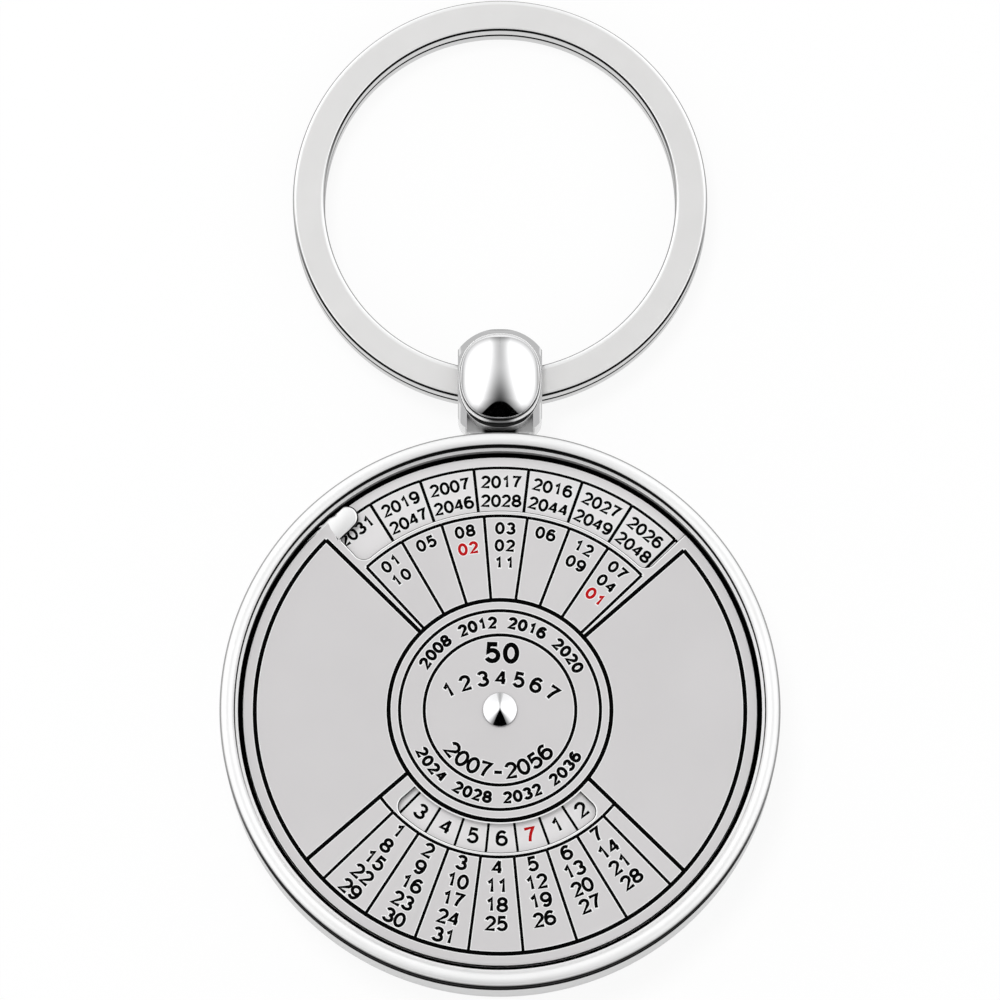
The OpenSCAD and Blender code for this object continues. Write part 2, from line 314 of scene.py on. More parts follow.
def mix_tints(tree, factor, dark, light):
    return mix(tree, factor, (*dark, 1), (*light, 1), "RGBA")


def noise(tree, scale, detail):
    """A noise in object coordinates, with features about 1/scale millimetres wide."""
    coords = tree.nodes.new("ShaderNodeTexCoord")
    texture = tree.nodes.new("ShaderNodeTexNoise")
    texture.inputs["Scale"].default_value = scale / MM
    texture.inputs["Detail"].default_value = detail
    tree.links.new(coords.outputs["Object"], texture.inputs["Vector"])
    return texture.outputs["Fac"]


# Most values of a noise lie between these
NOISE_SPAN = (0.3, 0.7)


def spread_to(tree, value, low, high):
    """A noise value stretched to run between two numbers."""
    return map_range(tree, value, *NOISE_SPAN, low, high)


def bump(tree, value, strength, depth):
    node = tree.nodes.new("ShaderNodeBump")
    node.inputs["Strength"].default_value = strength
    node.inputs["Distance"].default_value = depth * MM
    tree.links.new(value, node.inputs["Height"])
    return node.outputs["Normal"]


Place = namedtuple("Place", "x y z r up")


def place(tree):
    """Where a point lies at rest, in millimetres, how far from the dial's axis, and how far it looks up."""
    coords = tree.nodes.new("ShaderNodeTexCoord")
    at = tree.nodes.new("ShaderNodeSeparateXYZ")
    facing = tree.nodes.new("ShaderNodeSeparateXYZ")
    tree.links.new(coords.outputs["Object"], at.inputs[0])
    tree.links.new(coords.outputs["Normal"], facing.inputs[0])
    x, y, z = [math_node(tree, "DIVIDE", value, MM) for value in at.outputs]
    return Place(x, y, z, length_of(tree, x, y), facing.outputs["Z"])


CREVICE_SAMPLES = 8


def crevice(tree, reach, dark, clear):
    """A mask of corners and recesses, by how much of the sky within a reach is hidden from a point."""
    node = tree.nodes.new("ShaderNodeAmbientOcclusion")
    node.samples = CREVICE_SAMPLES
    node.inputs["Distance"].default_value = reach * MM
    return ease(tree, node.outputs["AO"], dark, clear, 1.0, 0.0)


# Materials

CLOUD_SCALE = 0.25
FINE_DETAIL = 3.0
RELIEF_DETAIL = 1.0
RELIEF_STRENGTH = 0.3
INK_GRAIN = 3.0
INK_ROUGH = (0.55, 0.75)

# What lies over a finish: a mask, a grey, a roughness, and whether it is all metal
Mark = namedtuple("Mark", "mask shade rough bare", defaults=[False])


def grey(level):
    return (level, level, level)


def new_material(name):
    material = bpy.data.materials.new(name)
    material.use_nodes = True
    tree = material.node_tree
    return material, tree, tree.nodes["Principled BSDF"]


def metal(name, tint, rough, grain, relief, cloud=CLOUD_SCALE, marks=None, metallic=1.0):
    """A metal with soft clouds in its tint, a fine grain in its gloss and a shallow relief, under its marks.
    The tint is a dark and a light colour, and the relief a scale and a depth."""
    material, tree, shader = new_material(name)
    all_metal = metallic == 1.0
    shader.inputs["Metallic"].default_value = metallic
    colour = mix_tints(tree, spread_to(tree, noise(tree, cloud, FINE_DETAIL), 0, 1), *tint)
    gloss = spread_to(tree, noise(tree, grain, FINE_DETAIL), *rough)
    for mark in marks(tree) if marks else []:
        colour = mix(tree, mark.mask, colour, (*grey(mark.shade), 1), "RGBA")
        gloss = mix(tree, mark.mask, gloss, mark.rough)
        if mark.bare and not all_metal:
            metallic = mix(tree, mark.mask, metallic, 1.0)
            feed(tree, shader.inputs["Metallic"], metallic)
    tree.links.new(colour, shader.inputs["Base Color"])
    tree.links.new(gloss, shader.inputs["Roughness"])
    relief_scale, relief_depth = relief
    waves = bump(tree, noise(tree, relief_scale, RELIEF_DETAIL), RELIEF_STRENGTH, relief_depth)
    tree.links.new(waves, shader.inputs["Normal"])
    return material


def ink(name, tint, gloss):
    """Printed ink or plain plastic, a little uneven, with a dull gloss."""
    material, tree, shader = new_material(name)
    fine = noise(tree, INK_GRAIN, FINE_DETAIL)
    tree.links.new(mix_tints(tree, spread_to(tree, fine, 0, 1), *tint), shader.inputs["Base Color"])
    tree.links.new(spread_to(tree, fine, *INK_ROUGH), shader.inputs["Roughness"])
    shader.inputs["Specular IOR Level"].default_value = gloss
    return material


# Sizes of the case, for its marks and its section
CASE_R = 20
FOOT_R = 0.5
BACK_T = 1.4
CAVITY_R = 18.0
LEDGE_Z = 4.33
RECESS_R = 18.7
BEVEL_Z = 5.85
BEAD_Z = 6.05
BEAD_R = 19.45
BEAD_ROUND_R = 0.55
COVE_Z = 5.0
COVE_R = 0.5
COVE_DEPTH = 0.3

# Bounds of the case's marks. In these groups a pair is a level and how soft its edge is.
CASE_SIDE_R = 19.2
COVE_LOW_Z = 4.54
SIDE_TOP_Z = (COVE_LOW_Z, 0.05)
COVE_SHADE_R = 19.6
COVE_SHADE_Z = (6.33, 0.04)
COVE_SHADE_Y = (-7, 5)
OUTLINE_Z = (6.41, 0.03)
CREASE_R = 18.9
CREASE_LOW_Z = (BEAD_Z - 0.01, 0.005)
CREASE_LIFT = (0.5, 0.06)
CREASE_FAR_LIFT = 0.25
CREASE_Y = (-5, 5)
GAP_R = (RECESS_R + 0.02, 0.01)
GAP_Z = (BEVEL_Z - 0.02, 0.02)
WALL_SHADE_Z = (5.05, 0.15)
WALL_SHADE_Y = (6, 4)


def case_marks(tree):
    """A duller, darker side in painted shade, a grey painted outline on the bead, and dark painted shade in
    the cove, inside the bead and in the gap round the dial.
    """
    at = place(tree)
    side = product(tree, above(tree, at.r, CASE_SIDE_R), below(tree, at.z, *SIDE_TOP_Z))
    rim = above(tree, at.z, COVE_LOW_Z)
    outline = product(tree, above(tree, at.r, BEAD_R), rim, below(tree, at.z, *OUTLINE_Z))
    cove = product(
        tree, above(tree, at.r, COVE_SHADE_R), rim, below(tree, at.z, *COVE_SHADE_Z),
        below(tree, at.y, *COVE_SHADE_Y))
    # Towards the ring the painted shade reaches higher up the bead
    far = clamped(tree, product(tree, at.y, 1 / CREASE_R), 0, 1)
    lift = line_of(tree, at.z, 1 / BEAD_ROUND_R, -BEAD_Z / BEAD_ROUND_R)
    lift = math_node(tree, "SUBTRACT", lift, product(tree, far, far, CREASE_FAR_LIFT))
    crease = product(
        tree, below(tree, at.r, BEAD_R), above(tree, at.z, *CREASE_LOW_Z), below(tree, lift, *CREASE_LIFT),
        above(tree, at.y, *CREASE_Y))
    gap = product(tree, below(tree, at.r, *GAP_R), below(tree, at.z, *GAP_Z))
    wall = product(tree, gap, above(tree, at.z, *WALL_SHADE_Z), above(tree, at.y, *WALL_SHADE_Y))
    return [
        Mark(side, shade=0.62, rough=0.35),
        Mark(outline, shade=0.36, rough=0.5),
        Mark(cove, shade=0.004, rough=0.9, bare=True),
        Mark(crease, shade=0.01, rough=0.7, bare=True),
        Mark(gap, shade=0.004, rough=0.8, bare=True),
        Mark(wall, shade=0.35, rough=0.6, bare=True),
    ]


# Bounds of the link's marks
LINK_FLAT_UP = (0.985, 0.012)
POCKET_Z = (5.2, 0.2)
POCKET_FAR_Y = 23.2
POCKET_NEAR_Y = (20.4, 0.02)
POCKET_HALF_W = (2.5, 0.02)
DEEP_HALF_W = (1.3, 0.5)
NECK_Y = (20.8, 0.1)
NECK_HALF_W = (1.2, 0.2)
GROOVE_LIT_Y = (22.6, 0.6)
COLLAR_SHADE_Y = (21.2, 0.1)
COLLAR_SHADE_HALF_W = (0.9, 0.5)


def link_marks(tree):
    """Painted shade: duller, darker sides and rounded edges, and darker shade in the pocket and at the neck.
    """
    at = place(tree)
    walls = below(tree, at.up, *LINK_FLAT_UP)
    aside = math_node(tree, "ABSOLUTE", at.x)
    pocket = product(
        tree, below(tree, at.z, *POCKET_Z), below(tree, at.y, POCKET_FAR_Y),
        above(tree, at.y, *POCKET_NEAR_Y), below(tree, aside, *POCKET_HALF_W))
    deep = product(tree, pocket, below(tree, aside, *DEEP_HALF_W))
    neck = product(tree, below(tree, at.y, *NECK_Y), below(tree, aside, *NECK_HALF_W))
    return [
        Mark(walls, shade=0.6, rough=0.15, bare=True),
        Mark(pocket, shade=0.6, rough=0.3, bare=True),
        Mark(deep, shade=0.35, rough=0.3, bare=True),
        Mark(neck, shade=0.006, rough=0.6, bare=True),
    ]


def groove_marks(tree):
    """Lighter painted shade where the groove faces the light."""
    return [Mark(above(tree, place(tree).y, *GROOVE_LIT_Y), shade=0.32, rough=0.5)]


def collar_marks(tree):
    """The collar's part next to the dial, shaded by the dome."""
    at = place(tree)
    aside = math_node(tree, "ABSOLUTE", at.x)
    front = product(tree, below(tree, at.y, *COLLAR_SHADE_Y), below(tree, aside, *COLLAR_SHADE_HALF_W))
    return [Mark(front, shade=0.3, rough=0.3, bare=True)]


# Bounds of the plates' marks; a corner is a reach and the shares of sky at which it is dark and clear
COVER_CORNER = (0.4, 0.3, 0.8)
BASE_CORNER = (0.3, 0.25, 0.6)
TAB_Z = (face_z + 0.14, 0.12)
TAB_UP = (0.8, 0.03)
BROKEN_LEAST_UP = (0.78, 0.03)
BROKEN_MOST_UP = (0.99, 0.005)
CUT_UP = (0.8, 0.03)


def plate_marks(tree):
    """Painted light: highlights on the broken edges and on the polished tab, dark painted shade on the cut
    edges and a fine line of painted shade in the corners.
    """
    at = place(tree)
    tab = product(tree, above(tree, at.z, *TAB_Z), above(tree, at.up, *TAB_UP))
    broken = product(tree, above(tree, at.up, *BROKEN_LEAST_UP), below(tree, at.up, *BROKEN_MOST_UP))
    return [
        Mark(crevice(tree, *COVER_CORNER), shade=0.1, rough=0.5),
        Mark(broken, shade=0.95, rough=0.3),
        Mark(tab, shade=0.96, rough=0.3),
        Mark(below(tree, at.up, *CUT_UP), shade=0.03, rough=0.6, bare=True),
    ]


def base_marks(tree):
    """A fine line of painted shade where the base plate meets the walls of the windows."""
    return [Mark(crevice(tree, *BASE_CORNER), shade=0.1, rough=0.5)]


# Sizes and place of the split ring, for its marks and its mesh
RING_R = 15
STRIP_W = 2.3
RING_LEAN = 3.06
LINK_HALF_W = 3.025
inner_r = RING_R - STRIP_W
ring_bow = inner_r - math.sqrt(inner_r ** 2 - LINK_HALF_W ** 2)
ring_reach = RING_R - (STRIP_W + ring_bow) / 2
joints = {joint["name"]: joint for joint in frame["record"]["behaviour"]["joints"]}
eye_y, eye_z = [value / MM for value in joints["ring_swing"]["pos_m"][1:]]

# Bounds of the ring's marks
EDGE_ZONE_W = 0.35
EDGE_GLEAM_W = 0.28
EDGE_GLEAM_SOFT = 0.06
EDGE_FRONT = (0.15, 0.35)
EDGE_UP = (0.985, 0.01)
STRIP_WALL_UP = (0.4, 0.2)
STRIP_OUTLINE_UP = (0.72, 0.1)
STRIP_SHADE_LEAST_UP = (0.4, 0.1)
STRIP_SHADE_MOST_UP = (0.93, 0.03)
COIL_GAP_HALF = (0.1, 0.04)


def ring_marks(tree):
    """Painted light on the strip: highlights on its round edges, darker walls and grey outlines, a dark
    painted reflection on the edges facing the dial, and painted shade in the gap between the two coils.
    """
    at = place(tree)
    lean = math.radians(RING_LEAN)
    height = math_node(
        tree, "ADD", line_of(tree, at.y, math.sin(lean), -eye_y * math.sin(lean)),
        line_of(tree, at.z, math.cos(lean), -eye_z * math.cos(lean)))
    out = line_of(tree, at.y, 1, -eye_y - ring_reach * math.cos(lean))
    d = length_of(tree, at.x, out)
    inner = below(tree, d, inner_r + EDGE_ZONE_W)
    outer = above(tree, d, RING_R - EDGE_ZONE_W)
    # Edges that look towards the dial, and those that look away
    toward = product(tree, math_node(tree, "SUBTRACT", inner, outer), math_node(tree, "DIVIDE", out, d))
    front = above(tree, toward, *EDGE_FRONT)
    back = line_of(tree, front, -1, 1)
    band = math_node(
        tree, "MAXIMUM", below(tree, d, inner_r + EDGE_GLEAM_W, EDGE_GLEAM_SOFT),
        above(tree, d, RING_R - EDGE_GLEAM_W, EDGE_GLEAM_SOFT))
    edge = math_node(tree, "MAXIMUM", below(tree, at.up, *EDGE_UP), product(tree, band, back))
    outline = product(tree, back, below(tree, at.up, *STRIP_OUTLINE_UP))
    shaded = product(
        tree, front, above(tree, at.up, *STRIP_SHADE_LEAST_UP), below(tree, at.up, *STRIP_SHADE_MOST_UP))
    gap = below(tree, math_node(tree, "ABSOLUTE", height), *COIL_GAP_HALF)
    return [
        Mark(edge, shade=0.97, rough=0.3),
        Mark(below(tree, at.up, *STRIP_WALL_UP), shade=0.6, rough=0.3, bare=True),
        Mark(outline, shade=0.28, rough=0.5),
        Mark(shaded, shade=0.01, rough=0.6, bare=True),
        Mark(gap, shade=0.02, rough=0.6, bare=True),
    ]


# Reliefs: a scale and a depth
WAVES = (0.8, 0.0006)
SATIN_GRAIN = (6.0, 0.001)
PLAIN_GRAIN = (2.0, 0.001)
DUST = (4.0, 0.002)

CHROME_TINT = ((0.86, 0.86, 0.87), grey(0.92))
PALE_TINT = (grey(0.92), grey(0.96))

chrome = metal("polished_chrome", CHROME_TINT, rough=(0.03, 0.06), grain=3.0, relief=WAVES)
case_chrome = metal(
    "case_chrome", PALE_TINT, rough=(0.28, 0.34), grain=0.8, relief=WAVES, marks=case_marks, metallic=0.3)
link_chrome = metal(
    "link_chrome", CHROME_TINT, rough=(0.05, 0.1), grain=3.0, relief=WAVES, marks=link_marks)
collar_chrome = metal(
    "collar_chrome", PALE_TINT, rough=(0.29, 0.33), grain=0.8, relief=WAVES, marks=collar_marks, metallic=0.3)
# Dark painted shade for the groove and the line round the dome, lighter on its far side
groove_painted_shade = metal(
    "groove_painted_shade", (grey(0.02), grey(0.05)), rough=(0.3, 0.5), grain=5.0, relief=DUST, marks=groove_marks)
nickel = metal(
    "bright_nickel", ((0.82, 0.815, 0.81), (0.85, 0.845, 0.84)), rough=(0.29, 0.33), grain=0.8, relief=WAVES,
    marks=ring_marks, metallic=0.6)
satin = metal(
    "satin_plate", ((0.7, 0.685, 0.69), (0.73, 0.715, 0.72)), rough=(0.34, 0.44), grain=8.0,
    relief=SATIN_GRAIN, cloud=0.12, marks=plate_marks, metallic=0.5)
# The base plate's satin, painted lighter than the cover's to make up for the shade it lies in under the cover
lightened_base_satin = metal(
    "satin_base_lightened", ((0.86, 0.845, 0.85), (0.89, 0.875, 0.88)), rough=(0.34, 0.44), grain=8.0,
    relief=SATIN_GRAIN, cloud=0.12, marks=base_marks, metallic=0.5)
dark_steel = metal("stud_steel", (grey(0.2), grey(0.28)), rough=(0.2, 0.3), grain=5.0, relief=PLAIN_GRAIN)
brass = metal(
    "washer_brass", ((0.72, 0.5, 0.2), (0.8, 0.58, 0.26)), rough=(0.25, 0.35), grain=5.0, relief=PLAIN_GRAIN)
black_ink = ink("black_ink", (grey(0.0004), grey(0.0012)), gloss=0.02)
red_ink = ink("red_ink", ((0.42, 0.004, 0.006), (0.5, 0.008, 0.01)), gloss=0.1)
underlay = ink("print_underlay", (grey(0.82), grey(0.9)), gloss=0.2)
plastic = ink("washer_plastic", (grey(0.05), grey(0.07)), gloss=0.3)

NODE_FINISH = {
    "case": case_chrome,
    "base_disc": lightened_base_satin,
    "friction_washer": plastic,
    "dial_cover": satin,
    "pivot_rivet": chrome,
    "rivet_washer": brass,
    "swivel_stud": dark_steel,
    "link_body": link_chrome,
    "split_ring": nickel,
}
for node, finish in NODE_FINISH.items():
    frame["nodes"][node].material_slots[0].material = finish


# The cover with its cut edges broken

# Points of a CAD mesh closer than this are one point
WELD = 1e-4
EDGE_BREAK = 0.13
EDGE_STEPS = 3
TAB_ROUND = 0.24
TAB_STEPS = 5
TAB_CLEAR = 0.2
# The upward part of a normal, on the tab's top and on a level face
TAB_TOP_UP = 0.9
LEVEL_UP = 0.99999
# Turns between faces, in degrees
FLAT_TURN = 1.0
SAME_FACE_TURN = 0.5
COVER_CORNER_TURN = 40
COVER_CREASE_TURN = 35


def sharp_edges(bm, angle):
    return [e for e in bm.edges if e.is_manifold and e.calc_face_angle() > math.radians(angle)]


def mark_creases(bm, angle):
    """Sharp edges at corners, and where a level face meets a round one, so that flats stay flat in light."""
    bm.normal_update()
    for edge in sharp_edges(bm, FLAT_TURN):
        level = any(abs(face.normal.z) > LEVEL_UP for face in edge.link_faces)
        edge.smooth = not level and edge.calc_face_angle() < math.radians(angle)


def welded_copy(node):
    """A mesh under construction that starts as a copy of a CAD node, with its points joined."""
    bm = bmesh.new()
    bm.from_mesh(frame["nodes"][node].data)
    bmesh.ops.remove_doubles(bm, verts=bm.verts, dist=WELD * MM)
    return bm


def is_tab_edge(edge):
    """The upper edge of the tab, where it stands clear of the cover."""
    high = all(v.co.z > (face_z + TAB_CLEAR) * MM for v in edge.verts)
    return high and any(face.normal.z > TAB_TOP_UP for face in edge.link_faces)


def rounded_off(bm, edges, offset, steps):
    bmesh.ops.bevel(
        bm, geom=edges, offset=offset * MM, segments=steps, profile=0.5, affect="EDGES", clamp_overlap=False)


def stamped_cover():
    """The cover with its edges broken and the tab's upper edge rounded."""
    bm = welded_copy("dial_cover")
    bmesh.ops.dissolve_limit(bm, angle_limit=math.radians(SAME_FACE_TURN), verts=bm.verts, edges=bm.edges)
    tab_edges = [edge for edge in sharp_edges(bm, COVER_CORNER_TURN) if is_tab_edge(edge)]
    rounded_off(bm, tab_edges, TAB_ROUND, TAB_STEPS)
    rounded_off(bm, sharp_edges(bm, COVER_CORNER_TURN), EDGE_BREAK, EDGE_STEPS)
    mark_creases(bm, COVER_CREASE_TURN)
    piece = mesh_piece("stamped_cover", bm, satin, "dial", smooth=True)
    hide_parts("dial_cover")


stamped_cover()


# The link's cast body with draft at its foot, and the cushion dome on its collar

LINK_FACE_Z = 5.4265
FACE_CLEAR = 0.0005
LINK_CREASE_TURN = 25
FOOT_START_Y = 21.2
FOOT_ROUND_R = 1.2
FOOT_DRAFT = 0.12
FOOT_CUTS_Y = (20.6, 20.85, 21.1, 21.35, 21.6, 21.9, 22.2)
WALL_CUTS_Z = (0.5, 1.5, 2.5, 3.5, 4.5, 5.2)
DOME_Y = 24.095
DOME_TOP_Z = 7.3265
DOME_BALL_R = 3.81
DOME_R = 2.775
FILLET_START_R = 2.72
# Outlines: half widths across, towards the ring and towards the dial, and how square they are
ROUND = 2
DOME_OUTLINE = (2.85, 3.08, 3.08, 2.25)
COLLAR_OUTLINE = (3.01, 3.27, 3.68, 2.25)
DOME_SIDES = 128
DOME_RINGS = 28
FILLET_RINGS = 8
DOME_CREASE_TURN = 40
# The dome's finishes, by their place in its list of materials
POLISHED = 0
# The groove's finish is dark painted shade
PAINTED_SHADE = 1
PALE = 2
# Steps of the bright ring and the groove round the dome: width, most share of the room, height and finish
RING_STEPS = [
    (0.0, 0.0, 5.72, PAINTED_SHADE),
    (0.05, 0.2, 5.7, PAINTED_SHADE),
    (0.07, 0.27, 5.74, PALE),
    (0.15, 0.5, 5.76, PALE),
    (0.24, 0.75, 5.74, PALE),
    (0.27, 0.8, 5.68, PALE),
    (0.28, 0.84, 5.46, PAINTED_SHADE),
    (0.46, 0.9, 5.44, PAINTED_SHADE),
]
# Steps of the collar from the groove to its outline: share of the way and height
COLLAR_STEPS = [(0.12, 5.49), (0.45, 5.52), (0.8, 5.51), (0.95, 5.48), (1.0, 5.43)]
# The collar's skirt: its foot on the ring's and on the dial's side, and the way between them
SKIRT_HIGH_Z = 5.39
SKIRT_LOW_Z = 4.12
SKIRT_START = 0.3
SKIRT_RAMP = 0.4


def foot_limit(y, z):
    """Half the link's width near its foot, drawn in towards the back."""
    drop = min(max(FOOT_START_Y - (y - (LINK_FACE_Z - z) * FOOT_DRAFT), 0), FOOT_ROUND_R)
    return LINK_HALF_W - FOOT_ROUND_R + math.sqrt(FOOT_ROUND_R ** 2 - drop ** 2)


def cut_through(bm, at, normal, **kw):
    """Cuts all faces along a plane."""
    everything = bm.verts[:] + bm.edges[:] + bm.faces[:]
    return bmesh.ops.bisect_plane(bm, geom=everything, plane_co=at, plane_no=normal, **kw)


def cast_link():
    """The link without its dome, with rows of points at its foot that follow the draft."""
    bm = welded_copy("link_body")
    top = cut_through(bm, (0, 0, (LINK_FACE_Z + FACE_CLEAR) * MM), (0, 0, 1), clear_outer=True)
    rim = [e for e in top["geom_cut"] if isinstance(e, bmesh.types.BMEdge)]
    bmesh.ops.holes_fill(bm, edges=rim, sides=0)
    for y in FOOT_CUTS_Y:
        cut_through(bm, (0, y * MM, 0), (0, 1, 0))
    for z in WALL_CUTS_Z:
        cut_through(bm, (0, 0, z * MM), (0, 0, 1))
    for v in bm.verts:
        limit = foot_limit(v.co.y / MM, v.co.z / MM) * MM
        v.co.x = min(max(v.co.x, -limit), limit)
    bmesh.ops.remove_doubles(bm, verts=bm.verts, dist=WELD * MM)
    bmesh.ops.dissolve_degenerate(bm, edges=bm.edges, dist=WELD * MM)
    for edge in sharp_edges(bm, LINK_CREASE_TURN):
        edge.smooth = False
    piece = mesh_piece("cast_link", bm, link_chrome, "link", smooth=True)
    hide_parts("link_body")


def outline_r(outline, angle, power=None):
    """Distance from the dome's middle to an outline, which may be drawn less square."""
    across, up, down, square = outline
    c, s = math.cos(angle), math.sin(angle)
    along = up if s > 0 else down
    n = power or square
    return ((abs(c) / across) ** n + (abs(s) / along) ** n) ** (-1 / n)


def dome_profile():
    """Rows of the dome from its top: share of its outline and height."""
    rows = []
    for i in range(1, DOME_RINGS + 1):
        r = FILLET_START_R * i / DOME_RINGS
        z = DOME_TOP_Z - DOME_BALL_R + math.sqrt(DOME_BALL_R ** 2 - r * r)
        rows.append((r / DOME_R, z))
    start = math.asin(FILLET_START_R / DOME_BALL_R)
    fillet_r = (DOME_R - FILLET_START_R) / (1 - math.sin(start))
    end_z = rows[-1][1] - fillet_r * math.cos(start)
    for i in range(1, FILLET_RINGS + 1):
        turn = start + (math.pi / 2 - start) * i / FILLET_RINGS
        r = DOME_R - fillet_r + fillet_r * math.sin(turn)
        rows.append((r / DOME_R, end_z + fillet_r * math.cos(turn)))
    return rows


def skirt_z(angle):
    """Height of the skirt's foot, which reaches down into the pocket on the dial's side."""
    share = min(max((-math.sin(angle) - SKIRT_START) / SKIRT_RAMP, 0), 1)
    return SKIRT_HIGH_Z + (SKIRT_LOW_Z - SKIRT_HIGH_Z) * share


def dome_rows(angles):
    """All rows of the dome cap from its top: radii, heights and finish."""
    rows = []
    for share, z in dome_profile():
        square = ROUND + (DOME_OUTLINE[3] - ROUND) * share ** 2
        radii = [share * outline_r(DOME_OUTLINE, a, square) for a in angles]
        rows.append((radii, [z] * DOME_SIDES, POLISHED))
    inner = [outline_r(DOME_OUTLINE, a) for a in angles]
    outer = [outline_r(COLLAR_OUTLINE, a) for a in angles]
    for width, most, z, finish in RING_STEPS:
        groove = [near + min(width, (far - near) * most) for near, far in zip(inner, outer)]
        rows.append((groove, [z] * DOME_SIDES, finish))
    for share, z in COLLAR_STEPS:
        radii = [near + (far - near) * share for near, far in zip(groove, outer)]
        rows.append((radii, [z] * DOME_SIDES, PALE))
    rows.append((outer, [skirt_z(a) for a in angles], PALE))
    return rows


def cushion_dome():
    """The dome, the ring and groove round it, and its collar, closed below."""
    bm = bmesh.new()
    angles = [2 * math.pi * i / DOME_SIDES for i in range(DOME_SIDES)]
    top = bm.verts.new((0, DOME_Y * MM, DOME_TOP_Z * MM))
    before = None
    for radii, heights, finish in dome_rows(angles):
        row = [
            bm.verts.new((r * math.cos(a) * MM, (DOME_Y + r * math.sin(a)) * MM, z * MM))
            for r, a, z in zip(radii, angles, heights)]
        for i in range(DOME_SIDES):
            j = (i + 1) % DOME_SIDES
            corners = (top, row[i], row[j]) if before is None else (before[i], row[i], row[j], before[j])
            bm.faces.new(corners).material_index = finish
        before = row
    foot = bm.verts.new((0, DOME_Y * MM, SKIRT_HIGH_Z * MM))
    for i in range(DOME_SIDES):
        bm.faces.new((before[i], foot, before[(i + 1) % DOME_SIDES])).material_index = PALE
    bm.normal_update()
    for edge in sharp_edges(bm, DOME_CREASE_TURN):
        edge.smooth = False
    piece = mesh_piece("dome_cap", bm, chrome, "link", smooth=True)
    piece.data.materials.append(groove_painted_shade)
    piece.data.materials.append(collar_chrome)


cast_link()
cushion_dome()


# The case, the rivet and the split ring with clean round surfaces

CASE_SIDES = 240
RIVET_SIDES = 64
TURNED_CREASE_TURN = 25
BEAD_STEP = 6


def lathe(name, section, sides, material, body, node):
    """A surface turned about the dial's axis in place of a node; its section starts and ends on the axis."""
    bm = bmesh.new()
    turns = [2 * math.pi * i / sides for i in range(sides)]
    before = None
    for r, z in section:
        spots = [(0, 0)] if r == 0 else [(r * math.cos(a), r * math.sin(a)) for a in turns]
        row = [bm.verts.new((px * MM, py * MM, z * MM)) for px, py in spots]
        for i in range(sides if before else 0):
            j = (i + 1) % sides
            if len(before) == 1:
                bm.faces.new((before[0], row[i], row[j]))
            elif len(row) == 1:
                bm.faces.new((before[i], row[0], before[j]))
            else:
                bm.faces.new((before[i], row[i], row[j], before[j]))
        before = row
    mark_creases(bm, TURNED_CREASE_TURN)
    piece = mesh_piece(name, bm, material, body, smooth=True)
    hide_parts(node)


def case_section():
    """The back, the rounded foot, the cove, the bead, the recess with its ledge and the inside."""
    reach = math.degrees(math.acos((COVE_R - COVE_DEPTH) / COVE_R))
    return (
        [(0, 0)]
        + oval(CASE_R - FOOT_R, FOOT_R, FOOT_R, FOOT_R, -90, 0)
        + oval(CASE_R + COVE_R - COVE_DEPTH, COVE_Z, COVE_R, COVE_R, 180 + reach, 180 - reach)
        + oval(BEAD_R, BEAD_Z, BEAD_ROUND_R, BEAD_ROUND_R, 0, 180, BEAD_STEP)
        + [(RECESS_R, BEVEL_Z), (RECESS_R, LEDGE_Z), (CAVITY_R, LEDGE_Z), (CAVITY_R, BACK_T), (0, BACK_T)]
    )


SHANK_R = 0.9
HEAD_R = 1.2
HEAD_FOOT_Z = 5.47
HEAD_TOP_Z = 6.42
HEAD_SLOPE = 36
HEAD_TIP_SHARE = 0.12
HEAD_STEPS = 24
TAIL_R = 1.4
TAIL_LOW_Z = 3.53
TAIL_HIGH_Z = 3.93


def rivet_section():
    """Tail, shank and a head whose slope soon reaches its steepest."""
    section = [(0, TAIL_LOW_Z), (TAIL_R, TAIL_LOW_Z), (TAIL_R, TAIL_HIGH_Z), (SHANK_R, TAIL_HIGH_Z)]
    section += [(SHANK_R, HEAD_FOOT_Z), (HEAD_R, HEAD_FOOT_Z)]
    head = [(0, HEAD_TOP_Z)]
    for i in range(HEAD_STEPS):
        share = (i + 0.5) / HEAD_STEPS
        slope = HEAD_SLOPE * (1 - math.exp(-share / HEAD_TIP_SHARE))
        fall = HEAD_R / HEAD_STEPS * math.tan(math.radians(slope))
        head.append((HEAD_R * (i + 1) / HEAD_STEPS, head[-1][1] - fall))
    return section + head[::-1]


COIL_T = 1.26
COIL_GAP = 0.08
STRIP_EDGE_R = 0.25
STRIP_EDGE_STEP = 11.25
STRIP_CREASE_TURN = 40
STEP_ANGLE = 16
STRIP_PITCH = 2


def strip_section():
    """Corners of the strip's section, from its inner lower edge."""
    left = low = STRIP_EDGE_R
    right, high = STRIP_W - STRIP_EDGE_R, COIL_T - STRIP_EDGE_R
    middles = [(left, low, 180), (right, low, 270), (right, high, 0), (left, high, 90)]
    return [
        p for u, w, a in middles
        for p in oval(u, w, STRIP_EDGE_R, STRIP_EDGE_R, a, a + 90, STRIP_EDGE_STEP)]


